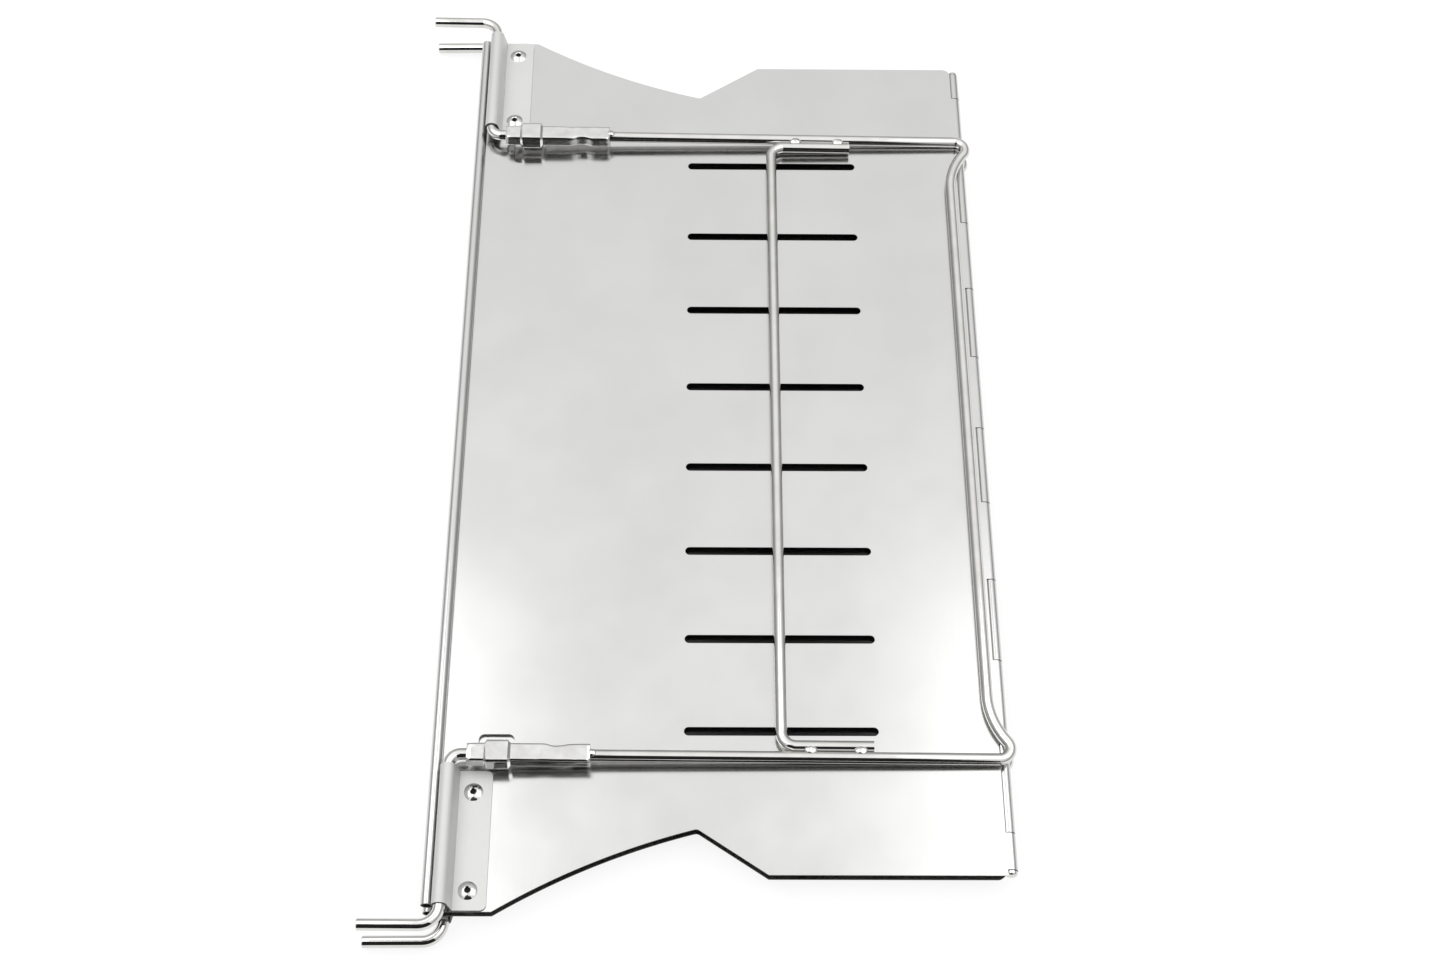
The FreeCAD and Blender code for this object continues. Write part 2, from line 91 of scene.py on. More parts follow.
HINGE_WRAP = math.radians(290)
HINGE_AXIAL_GAP = 0.3 * MM
HINGE_EDGE_BACK = 1.4 * MM
HINGE_CORNER_RADIUS = 3.0 * MM
END_KNUCKLE_BACK = 2.2 * MM
POCKET_START_X = 15.4 * MM
POCKET_END_X = 27.4 * MM
POCKET_INNER_HALF = 124.5 * MM
POCKET_OUTER_HALF = 137.5 * MM
POCKET_DEPTH = 1.2 * MM
POCKET_RADIUS = 2.0 * MM

# Strap, rivets, wire frame and sleeve
STRAP_CORNER_RADIUS = 2.0 * MM
STRAP_RISER = math.radians(78)
STRAP_BEND_RADIUS = 0.6 * MM
LOOP_WRAP = math.radians(300)
RIVET_HEAD_RADIUS = 3.2 * MM
RIVET_HEAD_HEIGHT = 1.0 * MM
RIVET_BORE_RADIUS = 1.0 * MM
RIVET_BORE_FLOOR = 0.08 * MM   # above the strap
RIVET_BORE_RIM = 0.72 * MM     # above the strap, where the rounding of the rim starts
RIVET_RIM_RADIUS = 1.25 * RIVET_BORE_RADIUS
RIVET_SHANK_RADIUS = 1.6 * MM
RIVET_BLIND_RADIUS = 2.3 * MM
RIVET_BLIND_HEIGHT = 1.1 * MM
RIVET_BLIND_TIP_RADIUS = 0.8 * RIVET_BLIND_RADIUS
POST_BEND_RADIUS = 6.5 * MM
ARM_BEND_RADIUS = 4.0 * MM
TIP_CHAMFER = 0.4 * MM
FOOT_BEND_RADIUS = 4.0 * MM
FOOT_LEAN = math.radians(38)
FOOT_BACK_RADIUS = 28.0 * MM
CROSSBAR_BACK = 8.7 * MM
BRACE_BEND_RADIUS = 5.0 * MM
SLEEVE_WIDTH = 6.8 * MM
SLEEVE_HEIGHT = 5.2 * MM
SLEEVE_EDGE_RADIUS = 1.1 * MM
COLLAR_START_X = 18.2 * MM
COLLAR_END_X = 26.6 * MM
COLLAR_BULGE = 0.9 * MM
COLLAR_SLOPE_OUT = 0.2 * MM    # how far the collar's slopes reach out past its ends
COLLAR_SLOPE_IN = 0.7 * MM     # and in from them
SLEEVE_STEP = 1.3 * MM         # spacing of the sections that the dents move
SLEEVE_FLAT_CUTS = 5
DENTS = ((4.5 * MM, 0.16 * MM), (1.8 * MM, 0.05 * MM))   # size and depth
DENT_LEAN = 0.3                # how much a dent goes in or out rather than only in
CRIMP_X = 42.2 * MM
CRIMP_LENGTH = 6.0 * MM
CRIMP_DEPTH = 0.7 * MM
CRIMP_SIDE = 0.6               # share of the half width beyond which the crimp presses
BRACE_WELD_X = (126.6 * MM, 143.3 * MM)
BRACE_WELD_RADII = (2.2 * MM, 1.6 * MM, 1.0 * MM)
BRACE_WELD_RISE = 1.3 * MM
SLEEVE_WELD_RADII = (1.5 * MM, 1.4 * MM, 0.8 * MM)
SLEEVE_WELD_OUT = 0.5 * MM
SLEEVE_WELD_RISE = 2.0 * MM
WELD_LUMPS = (0.9 * MM, 0.16 * MM)   # size and depth

# Fineness of round stretches, and what counts as one place, as upright and as a sharp edge
WIRE_SIDES = 40
LATHE_STEPS = 48
TURN_STEP = math.radians(6)
NEARBY = 1e-6
SAME_VERT = 1e-7
UPRIGHT = 0.1
FACING = 0.9
SHARP = math.radians(32)

# Places read from the frame. Upper pieces are shaped where they lie in the folded pack.
joints = {joint["name"]: joint for joint in frame["joints"]}
PIN = Vector(joints["leaf_hinge"]["pos_m"])
LOOP = Vector(joints["upper_legs_swing"]["pos_m"])
HEM_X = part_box("upper_leaf")[0].x
END_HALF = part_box("upper_leaf")[1].y
KNUCKLE_RADIUS = PIN_RADIUS + BARE_GAP + SHEET
LEAF_INNER_Z = PIN.z + KNUCKLE_RADIUS - SHEET
LEAF_OUTER_Z = PIN.z + KNUCKLE_RADIUS
post = next(m for m in frame["record"]["mounts"] if m["name"] == "upper_back_post")
FRAME_TILT = math.atan2(post["axis"][2], -post["axis"][0])
POST_HALF = post["pos_m"][1]
POST_TIP_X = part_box("upper_back_hook_wire")[0].x
ARM_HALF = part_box("upper_back_hook_wire")[0].y + UPSET_RADIUS
JOIN_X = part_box("upper_back_hook_wire")[1].x
FOOT_OUTER_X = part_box("upper_leg_wire")[1].x
BRACE_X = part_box("upper_brace_wire")[0].x + WIRE_RADIUS
BRACE_END_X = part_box("upper_brace_wire")[1].x
BRACE_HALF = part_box("upper_brace_wire")[1].y - WIRE_RADIUS
STRAP_LOW, STRAP_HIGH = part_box("upper_back_strap")
SLEEVE_START_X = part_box("upper_back_sleeve")[0].x
SLEEVE_END_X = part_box("upper_back_sleeve")[1].x

# Floor, light and camera, in metres and watts
FLOOR_SIZE = 15.0
FLOOR_GLOW = 0.80
# GLOW_FADE is the soft edge of the painted shadow that the floor's glow leaves under the slots.
GLOW_FADE = 12 * MM
ROOM_STOPS = ((0.0, "8C8C8C"), (0.4, "A8A8A8"), (0.72, "E6E6E6"), (1.0, "F6F6F6"))
ROOM_STRENGTH = 1.34
FLAGS = (((-0.06, -0.46, 0.37), 0.44, 0.72),   # middle, width and height
         ((-0.16, -0.46, 0.94), 0.24, 0.42))
SOFTBOXES = (("left_box", -0.72, 5.2), ("right_box", 0.72, 3.8))
SOFTBOX_Y = 0.06
SOFTBOX_Z = 1.2
SOFTBOX_SIZE = (1.0, 1.1)
CAMERA_PLACE = (0.0004, -0.4583, 0.7028)
CAMERA_LENS = 56.41
CAMERA_DOWN = math.radians(57.8)
CAMERA_ASIDE = math.radians(1.175)
CAMERA_ROLL = math.radians(1.232)


# ---------------------------------------------------------------- mesh tools

def geometry(result, kind):
    return [element for element in result if isinstance(element, kind)]


def far_edges(result):
    """The edges at the far end of what was just drawn out."""
    verts = set(geometry(result, bmesh.types.BMVert))
    edges = geometry(result, bmesh.types.BMEdge)
    return [edge for edge in edges if all(vert in verts for vert in edge.verts)]


def ends_of(edges):
    return list({vert for edge in edges for vert in edge.verts})


def draw_out(bm, edges, step):
    """Draws a profile of edges out along a straight step."""
    if step.length < 1e-9:
        return edges
    made = bmesh.ops.extrude_edge_only(bm, edges=edges)["geom"]
    bmesh.ops.translate(bm, verts=geometry(made, bmesh.types.BMVert), vec=step)
    return far_edges(made)


def turn_on(bm, edges, centre, axis, angle):
    """Turns a profile of edges on round a centre."""
    steps = max(2, math.ceil(abs(angle) / TURN_STEP))
    made = bmesh.ops.spin(bm, geom=edges + ends_of(edges), cent=centre, axis=axis,
                          angle=angle, steps=steps, use_merge=False)["geom_last"]
    return geometry(made, bmesh.types.BMEdge)


def follow(bm, edges, corners, bends):
    """Takes a profile along straight runs joined by tangent bends."""
    place = corners[0]
    for before, corner, after, bend in zip(corners, corners[1:], corners[2:], bends):
        towards = (corner - before).normalized()
        away = (after - corner).normalized()
        angle = towards.angle(away)
        start = corner - towards * bend * math.tan(angle / 2)
        edges = draw_out(bm, edges, start - place)
        axis = towards.cross(away).normalized()
        edges = turn_on(bm, edges, start + axis.cross(towards) * bend, axis, angle)
        place = corner + away * bend * math.tan(angle / 2)
    return draw_out(bm, edges, corners[-1] - place)


def close(bm, edges):
    """Closes the open end of a tube with one face, and returns its rim."""
    bmesh.ops.contextual_create(bm, geom=edges)
    return edges


def soften(bm, edges, width, segments=2):
    bmesh.ops.bevel(bm, geom=edges, offset=width, offset_type="OFFSET", segments=segments,
                    profile=0.5, affect="EDGES", material=-1, clamp_overlap=True)


def ring(bm, radius, centre, axis, sides=WIRE_SIDES):
    place = Matrix.Translation(centre) @ ALONG_Z.rotation_difference(axis).to_matrix().to_4x4()
    made = bmesh.ops.create_circle(bm, cap_ends=False, segments=sides, radius=radius, matrix=place)
    return list({edge for vert in made["verts"] for edge in vert.link_edges})


def round_corner(bm, corner, radius, segments=8):
    """Replaces a corner of a flat loop of edges with a tangent arc."""
    first, second = [edge.other_vert(corner) for edge in corner.link_edges]
    before = (first.co - corner.co).normalized()
    after = (second.co - corner.co).normalized()
    half = before.angle(after) / 2
    centre = corner.co + (before + after).normalized() * radius / math.sin(half)
    arm = corner.co + before * radius / math.tan(half) - centre
    axis = before.cross(after).normalized()
    start = bm.verts.new(centre + arm)
    made = bmesh.ops.spin(bm, geom=[start], cent=centre, axis=axis, angle=2 * half - math.pi,
                          steps=segments, use_merge=False)["geom_last"]
    end = geometry(made, bmesh.types.BMVert)[0]
    bm.edges.new((first, start))
    bm.edges.new((end, second))
    bm.verts.remove(corner)


def loop_of(bm, points):
    """A closed loop of edges through a few points."""
    verts = [bm.verts.new(point) for point in points]
    return [bm.edges.new(pair) for pair in zip(verts, verts[1:] + verts[:1])]


def rounded_loop(bm, low, high, z, radius, segments=8):
    """A flat rectangle of edges with rounded corners."""
    middle = Vector(((low[0] + high[0]) / 2, (low[1] + high[1]) / 2, z))
    size = Matrix.Diagonal((high[0] - low[0], high[1] - low[1], 1, 1))
    made = bmesh.ops.create_grid(bm, x_segments=1, y_segments=1, size=0.5,
                                 matrix=Matrix.Translation(middle) @ size)
    made = bmesh.ops.bevel(bm, geom=made["verts"], offset=radius, offset_type="OFFSET",
                           segments=segments, profile=0.5, affect="VERTICES", material=-1)
    face = next(face for vert in made["verts"] for face in vert.link_faces)
    edges = list(face.edges)
    bmesh.ops.delete(bm, geom=[face], context="FACES_ONLY")
    return edges


def lathe(bm, profile, centre, axis, side):
    """Spins a profile of (distance from the axis, height) into a closed turned piece."""
    verts = [bm.verts.new(centre + side * reach + axis * height) for reach, height in profile]
    edges = [bm.edges.new(pair) for pair in zip(verts, verts[1:])]
    bmesh.ops.spin(bm, geom=verts + edges, cent=centre, axis=axis, angle=2 * math.pi,
                   steps=LATHE_STEPS, use_merge=True)


def mirrored(bm):
    """A copy of the shape on the other side of the plane through the middle of the pack."""
    other = bm.copy()
    bmesh.ops.scale(other, vec=(1, -1, 1), verts=other.verts)
    bmesh.ops.reverse_faces(other, faces=other.faces)
    return other


def turned_over(bm):
    """The lower twin of an upper shape."""
    other = bm.copy()
    bmesh.ops.rotate(other, cent=PIN, matrix=Matrix.Rotation(math.pi, 3, "X"), verts=other.verts)
    return other


def laid_down(bm):
    """Swings a shape of the leg frame about its knuckles to lie as the frame lies."""
    turn = Matrix.Rotation(FRAME_TILT, 3, "Y")
    bmesh.ops.rotate(bm, cent=LOOP, matrix=turn, verts=bm.verts)
    return bm


# ---------------------------------------------------------------- materials

def srgb(code):
    """A hex colour as linear red, green, blue and alpha."""
    channels = [int(code[at:at + 2], 16) / 255 for at in (0, 2, 4)]
    linear = [c / 12.92 if c <= 0.04045 else ((c + 0.055) / 1.055) ** 2.4 for c in channels]
    return (*linear, 1.0)


def add(tree, kind, settings=None, **inputs):
    """Adds a node. A socket named in inputs, or numbered as _0, is linked when it is given a
    socket, else set."""
    node = tree.nodes.new(kind)
    for name, value in (settings or {}).items():
        setattr(node, name, value)
    for name, value in inputs.items():
        socket = node.inputs[int(name[1:]) if name[0] == "_" else name.replace("_", " ")]
        if isinstance(value, bpy.types.NodeSocket):
            tree.links.new(value, socket)
        else:
            socket.default_value = value
    return node


def ramp(tree, source, stops):
    """A colour ramp with a stop (position, colour) for each of the stops."""
    node = add(tree, "ShaderNodeValToRGB", Fac=source)
    elements = node.color_ramp.elements
    elements.remove(elements[1])
    elements[0].position, elements[0].color = stops[0]
    for position, colour in stops[1:]:
        elements.new(position).color = colour
    return node.outputs["Color"]


def steel(name, pale, dark, roughness, cloud_mm, grain_mm, grain_bump_mm, wave_bump_mm):
    """Bare stainless steel: a clouded colour, a directional grain and a slow unevenness.

    roughness is (polished, dull); grain_mm is the grain's size across and along."""
    material = bpy.data.materials.new(name)
    material.use_nodes = True
    tree = material.node_tree
    tree.nodes.clear()
    place = add(tree, "ShaderNodeTexCoord").outputs["Object"]
    cloud = add(tree, "ShaderNodeTexNoise", Vector=place, Scale=1 / (cloud_mm * MM), Detail=3.0)
    stretch = add(tree, "ShaderNodeMapping", Vector=place,
                  Scale=[1 / (size * MM) for size in grain_mm])
    grain = add(tree, "ShaderNodeTexNoise", Vector=stretch.outputs["Vector"], Scale=1.0, Detail=4.0)
    both = add(tree, "ShaderNodeMath", {"operation": "MULTIPLY_ADD"},
               _0=grain.outputs["Fac"], _1=0.5, _2=cloud.outputs["Fac"])
    mixed = add(tree, "ShaderNodeMapRange", Value=both.outputs["Value"],
                From_Min=0.45, From_Max=1.05, To_Min=roughness[0], To_Max=roughness[1])
    colour = ramp(tree, cloud.outputs["Fac"], ((0.35, srgb(dark)), (0.65, srgb(pale))))
    waves = add(tree, "ShaderNodeBump", Height=cloud.outputs["Fac"], Strength=1.0,
                Distance=wave_bump_mm * MM)
    fine = add(tree, "ShaderNodeBump", Height=grain.outputs["Fac"], Strength=1.0,
               Distance=grain_bump_mm * MM, Normal=waves.outputs["Normal"])
    shader = add(tree, "ShaderNodeBsdfPrincipled", Base_Color=colour, Metallic=1.0,
                 Roughness=mixed.outputs["Result"], Normal=fine.outputs["Normal"])
    add(tree, "ShaderNodeOutputMaterial", Surface=shader.outputs["BSDF"])
    return material


def plain(name, code, roughness):
    material = bpy.data.materials.new(name)
    material.use_nodes = True
    shader = material.node_tree.nodes["Principled BSDF"]
    shader.inputs["Base Color"].default_value = srgb(code)
    shader.inputs["Roughness"].default_value = roughness
    return material


def glowing_floor_with_painted_shadow():
    """A white floor that glows evenly, except under the pack's slots, where the glow fades out: a
    painted shadow, so that the slots show dark.
    """
    material = plain("glowing_floor_with_painted_shadow", "7C7C7C", 0.9)
    tree = material.node_tree
    place = add(tree, "ShaderNodeTexCoord").outputs["Object"]
    parts = add(tree, "ShaderNodeSeparateXYZ", Vector=place).outputs
    # The glow is kept only outside the slots' stretch; the dark patch inside is a painted shadow.
    outside = []
    slots = (("X", HEM_X + (SLOT_START_X + SLOT_END_X) / 2, (SLOT_END_X - SLOT_START_X) / 2),
             ("Y", 0, SLOT_COUNT * SLOT_PITCH / 2))
    for axis, middle, half in slots:
        away = add(tree, "ShaderNodeMath", {"operation": "ADD"}, _0=parts[axis],
                   _1=-middle).outputs["Value"]
        away = add(tree, "ShaderNodeMath", {"operation": "ABSOLUTE"}, _0=away).outputs["Value"]
        outside.append(add(tree, "ShaderNodeMapRange", Value=away, From_Min=half,
                           From_Max=half + GLOW_FADE).outputs["Result"])
    glow = add(tree, "ShaderNodeMath", {"operation": "MAXIMUM"}, _0=outside[0], _1=outside[1])
    glow = add(tree, "ShaderNodeMath", {"operation": "MULTIPLY"}, _0=glow.outputs["Value"],
               _1=FLOOR_GLOW)
    shader = tree.nodes["Principled BSDF"]
    shader.inputs["Emission Color"].default_value = srgb("FFFFFF")
    tree.links.new(glow.outputs["Value"], shader.inputs["Emission Strength"])
    return material


# Rolled sheet with a dull mill finish: soft reflections, faint streaks along the hinge.
SHEET_STEEL = steel("mill_finish_sheet", "CFCFCE", "CBCBCA", (0.16, 0.23), 28,
                    (0.9, 14, 0.9), 0.0012, 0.010)
# The straps' sheet, tumbled after cutting: paler and softer than the leaf's.
STRAP_STEEL = steel("tumbled_sheet", "DCDCDB", "D8D8D7", (0.64, 0.72), 18,
                    (0.9, 3, 0.9), 0.001, 0.004)
# Where the sheet was sheared or punched, and on the pocket trays' walls: a dull dark colour, which
# draws thin lines round them.
# On the walls it is painted shade; on the cut edges it is partly the duller sheared surface and
# partly painted shade.
SHEARED_EDGE_AND_PAINTED_SHADE = steel("sheared_edge_and_painted_shade", "6E6D6B", "4A4947", (0.45, 0.60), 0.6,
                     (1, 1, 1), 0.001, 0.002)
# Drawn wire: bright, with fine die lines.
WIRE_STEEL = steel("bright_drawn_wire", "DAD9D7", "D2D1CE", (0.05, 0.10), 9,
                   (1.2, 1.2, 1.2), 0.0008, 0.006)
# Thin bright sheet closed by hand, so that its dents catch the light.
SLEEVE_STEEL = steel("hand_closed_sheet", "D9D9D8", "CFCECC", (0.05, 0.12), 5,
                     (1.6, 1.6, 1.6), 0.003, 0.05)
# Cold-headed rivets: bright and smooth.
RIVET_STEEL = steel("cold_headed_rivet", "D9D9D8", "D0CFCD", (0.10, 0.16), 3,
                    (0.6, 0.6, 0.6), 0.001, 0.004)
# Near black on the floor and walls of each rivet's bore: painted shade deep in the bore.
RIVET_BORE_PAINTED_SHADE = plain("rivet_bore_painted_shade", "0A0A0A", 0.9)
# Weld metal: small bright beads.
WELD_STEEL = steel("weld_metal", "D9D8D5", "C9C7C2", (0.10, 0.22), 1.5,
                   (0.5, 0.5, 0.5), 0.01, 0.08)


# ---------------------------------------------------------------- the pieces

def end_curve(start, end, sag):
    """How far each point of a straight stretch moves to hollow it by the sag."""
    along = end - start
    inward = Vector((along.y, -along.x, 0)).normalized()

    def moved(point):
        t = (point - start).dot(along) / along.length_squared
        return point + inward * sag * 4 * t * (1 - t)
    return moved


def knuckle_spans():
    """The stretches of Y that the upper leaf's hinge knuckles take."""
    half_gap = HINGE_AXIAL_GAP / 2
    spans = [((2 * k - 4) * HINGE_KNUCKLE + half_gap, (2 * k - 3) * HINGE_KNUCKLE - half_gap)
             for k in range(5)]
    return [(END_KNUCKLE_BACK - LEAF_HALF, -5 * HINGE_KNUCKLE - half_gap)] + spans


def leaf_outline(bm):
    """Draws the flat outline, stepped along the hinge where the knuckles leave the sheet."""
    def at(x, y):
        return Vector((HEM_X + x, y, LEAF_INNER_Z))
    cut_x = PIN.x - HEM_X - HINGE_EDGE_BACK
    pin_x = PIN.x - HEM_X
    end = [(HEM_DIAMETER / 2, HEM_HALF), (HEM_DIAMETER, HEM_HALF), (HEM_DIAMETER, END_HALF),
           (END_FLAT_X, END_HALF), (NOTCH_X, NOTCH_HALF), (SHOULDER_X, LEAF_HALF)]
    points = [at(x, -y) for x, y in end] + [at(cut_x, -LEAF_HALF)]
    for low, high in knuckle_spans():
        points += [at(cut_x, low), at(pin_x, low), at(pin_x, high), at(cut_x, high)]
    points.append(at(cut_x, LEAF_HALF))
    points += [at(x, y) for x, y in reversed(end)]
    edges = loop_of(bm, points)
    for sign in (1, -1):
        start = at(END_FLAT_X, sign * END_HALF)
        stop = at(NOTCH_X, sign * NOTCH_HALF)
        chord = next(e for e in edges
                     if {tuple(v.co) for v in e.verts} == {tuple(start), tuple(stop)})
        cut = bmesh.ops.subdivide_edges(bm, edges=[chord], cuts=END_CURVE_STEPS)
        moved = end_curve(start, stop, sign * END_SAG)
        for vert in geometry(cut["geom_inner"], bmesh.types.BMVert):
            vert.co = moved(vert.co)
    rounded = [(at(NOTCH_X, -NOTCH_HALF), NOTCH_RADIUS), (at(NOTCH_X, NOTCH_HALF), NOTCH_RADIUS),
               (at(cut_x, LEAF_HALF), HINGE_CORNER_RADIUS)]
    for place, radius in rounded:
        corner = min(bm.verts, key=lambda vert: (vert.co - place).length)
        round_corner(bm, corner, radius)


def mark_cut_and_shaded_faces(bm, flat_from, flat_to):
    """Gives the second material, a dark colour, to all upright faces on the flat part and to the
    ends of the rolls:
    the edges the shears and the punch left, where it is partly painted shade, and the pocket trays'
    walls, where it is painted shade."""
    bm.normal_update()
    for face in bm.faces:
        on_flat = flat_from < face.calc_center_median().x < flat_to
        cut = abs(face.normal.z) < UPRIGHT and (on_flat or abs(face.normal.y) > FACING)
        face.material_index = int(cut)


def make_leaf():
    """The upper leaf: flat sheet with slots, rolled hem and knuckles, and pocket trays."""
    bm = bmesh.new()
    leaf_outline(bm)
    for index in range(SLOT_COUNT):
        y = (index - (SLOT_COUNT - 1) / 2) * SLOT_PITCH
        rounded_loop(bm, (HEM_X + SLOT_START_X, y - SLOT_WIDTH / 2),
                     (HEM_X + SLOT_END_X, y + SLOT_WIDTH / 2), LEAF_INNER_Z, SLOT_END_RADIUS, 10)
    pockets = []
    for sign in (1, -1):
        low, high = sorted((sign * POCKET_INNER_HALF, sign * POCKET_OUTER_HALF))
        pockets.append(((HEM_X + POCKET_START_X, low), (HEM_X + POCKET_END_X, high)))
        rounded_loop(bm, *pockets[-1], LEAF_INNER_Z, POCKET_RADIUS)
    filled = bmesh.ops.triangle_fill(bm, use_beauty=True, use_dissolve=False, edges=bm.edges[:])
    faces = geometry(filled["geom"], bmesh.types.BMFace)
    top = bmesh.ops.extrude_face_region(bm, geom=faces, use_keep_orig=True)["geom"]
    bmesh.ops.translate(bm, verts=geometry(top, bmesh.types.BMVert), vec=ALONG_Z * SHEET)

    def end_faces(x):
        return [face for face in bm.faces
                if all(abs(vert.co.x - x) < NEARBY for vert in face.verts)]
    rolls = ((HEM_X + HEM_DIAMETER / 2, LEAF_INNER_Z + HEM_DIAMETER / 2, HEM_WRAP),
             (PIN.x, PIN.z, HINGE_WRAP))
    for x, z, wrap in rolls:
        for face in end_faces(x):
            edges = list(face.edges)
            bmesh.ops.delete(bm, geom=[face], context="FACES_ONLY")
            close(bm, turn_on(bm, edges, Vector((x, 0, z)), ALONG_Y, wrap))
    for low, high in pockets:
        tray_low = (low[0] - SHEET, low[1] - SHEET)
        tray_high = (high[0] + SHEET, high[1] + SHEET)
        floor_z = LEAF_OUTER_Z - POCKET_DEPTH
        outer = rounded_loop(bm, tray_low, tray_high, LEAF_INNER_Z, POCKET_RADIUS + SHEET)
        close(bm, draw_out(bm, outer, ALONG_Z * (floor_z - SHEET - LEAF_INNER_Z)))
        inner = rounded_loop(bm, low, high, LEAF_INNER_Z, POCKET_RADIUS)
        close(bm, draw_out(bm, inner, ALONG_Z * (floor_z - LEAF_INNER_Z)))
    # The leaf's cut edges and pocket walls take the dark colour: painted shade on the walls, partly
    # painted shade on the edges.
    mark_cut_and_shaded_faces(bm, HEM_X + HEM_DIAMETER, PIN.x - 2 * KNUCKLE_RADIUS)
    return bm


def make_strap():
    """The strap at the back end: foot, riser and loop."""
    bm = bmesh.new()
    foot_z = LEAF_OUTER_Z + SHEET / 2
    radius = WIRE_RADIUS + RUNNING_GAP + SHEET / 2
    under, over = foot_z - SHEET / 2, foot_z + SHEET / 2
    corners = ((STRAP_LOW.y, under), (STRAP_HIGH.y, under),
               (STRAP_HIGH.y, over), (STRAP_LOW.y, over))
    section = loop_of(bm, [Vector((STRAP_HIGH.x, y, z)) for y, z in corners])
    close(bm, section)
    touch = LOOP + Vector((math.sin(STRAP_RISER), 0, math.cos(STRAP_RISER))) * radius
    vertex = Vector((touch.x + (touch.z - foot_z) / math.tan(STRAP_RISER), 0, foot_z))
    start = Vector((STRAP_HIGH.x, 0, foot_z))
    touch.y = 0
    section = follow(bm, section, [start, vertex, touch], [STRAP_BEND_RADIUS])
    section = turn_on(bm, section, LOOP, ALONG_Y, -LOOP_WRAP)
    close(bm, section)
    rim = [edge for edge in bm.edges
           if all(abs(vert.co.x - STRAP_HIGH.x) < NEARBY for vert in edge.verts)
           and abs(edge.verts[0].co.y - edge.verts[1].co.y) < NEARBY]
    soften(bm, rim, STRAP_CORNER_RADIUS, 8)
    # The strap's cut edges take the dark colour: partly the duller sheared surface, partly a
    # painted shade line where the foot sits on the leaf.
    mark_cut_and_shaded_faces(bm, LOOP.x + 2 * WIRE_RADIUS, STRAP_HIGH.x + SHEET)
    return bm


def make_rivets():
    """Two blind rivets through the strap at the back end."""
    bm = bmesh.new()
    low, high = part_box("upper_back_rivets")
    seat = LEAF_OUTER_Z + SHEET
    sphere = (RIVET_HEAD_RADIUS ** 2 + RIVET_HEAD_HEIGHT ** 2) / (2 * RIVET_HEAD_HEIGHT)
    edge_angle = math.asin(RIVET_HEAD_RADIUS / sphere)
    bore_angle = math.asin(RIVET_RIM_RADIUS / sphere)
    dome = [(sphere * math.sin(a), RIVET_HEAD_HEIGHT - sphere * (1 - math.cos(a)))
            for a in (bore_angle + (edge_angle - bore_angle) * k / 8 for k in range(9))]
    bore = [(0, RIVET_BORE_FLOOR), (RIVET_BORE_RADIUS, RIVET_BORE_FLOOR),
            (RIVET_BORE_RADIUS, RIVET_BORE_RIM)]
    shank_end = LEAF_INNER_Z - seat
    blind_end = shank_end - RIVET_BLIND_HEIGHT
    rest = [(RIVET_SHANK_RADIUS, 0), (RIVET_SHANK_RADIUS, shank_end),
            (RIVET_BLIND_RADIUS, shank_end),
            (RIVET_BLIND_RADIUS, shank_end - RIVET_BLIND_HEIGHT / 2),
            (RIVET_BLIND_TIP_RADIUS, blind_end), (0, blind_end)]
    x = (low.x + high.x) / 2
    places = (low.y + RIVET_HEAD_RADIUS, high.y - RIVET_HEAD_RADIUS)
    for y in places:
        lathe(bm, bore + dome + rest, Vector((x, y, seat)), ALONG_Z, ALONG_X)
    # The floor and walls of each bore take the second material, near black: painted shade.
    for face in bm.faces:
        middle = face.calc_center_median()
        reach = min(math.hypot(middle.x - x, middle.y - y) for y in places)
        in_bore = reach < RIVET_BORE_RADIUS and seat < middle.z < seat + RIVET_BORE_RIM
        face.material_index = int(in_bore)
    return bm


def wire(corners, bends, chamfered=False):
    """A round wire with both ends closed."""
    bm = bmesh.new()
    first = ring(bm, WIRE_RADIUS, corners[0], (corners[1] - corners[0]).normalized())
    last = follow(bm, first, corners, bends)
    close(bm, last)
    tip = close(bm, first)
    if chamfered:
        soften(bm, tip, TIP_CHAMFER)
    return bm


def make_hook_wire():
    """The hook wire at the back end: post, axle in the strap's loop, and leg to the sleeve."""
    def at(x, y):
        return Vector((x, y, LOOP.z))
    corners = [at(POST_TIP_X, POST_HALF), at(LOOP.x, POST_HALF), at(LOOP.x, ARM_HALF),
               at(JOIN_X, ARM_HALF)]
    return laid_down(wire(corners, [POST_BEND_RADIUS, ARM_BEND_RADIUS], True))


def make_leg_wire():
    """Arms, feet and crossbar in one wire, in to the crossbar by an S-bend at each foot."""
    reach = FOOT_BEND_RADIUS * math.tan((math.pi / 2 + FOOT_LEAN) / 2)
    foot_x = FOOT_OUTER_X - WIRE_RADIUS - FOOT_BEND_RADIUS + reach
    crossbar_x = FOOT_OUTER_X - CROSSBAR_BACK
    back_half = ARM_HALF - (foot_x - crossbar_x) / math.tan(FOOT_LEAN)
    half_route = [(JOIN_X + JOIN_GAP, ARM_HALF), (foot_x, ARM_HALF), (crossbar_x, back_half)]
    corners = [Vector((x, y, LOOP.z)) for x, y in half_route]
    corners += [Vector((x, -y, LOOP.z)) for x, y in reversed(half_route)]
    bends = [FOOT_BEND_RADIUS, FOOT_BACK_RADIUS, FOOT_BACK_RADIUS, FOOT_BEND_RADIUS]
    return laid_down(wire(corners, bends))


def make_brace_wire():
    route = ((BRACE_END_X, BRACE_HALF), (BRACE_X, BRACE_HALF), (BRACE_X, -BRACE_HALF),
             (BRACE_END_X, -BRACE_HALF))
    corners = [Vector((x, y, LOOP.z)) for x, y in route]
    return laid_down(wire(corners, [BRACE_BEND_RADIUS, BRACE_BEND_RADIUS]))


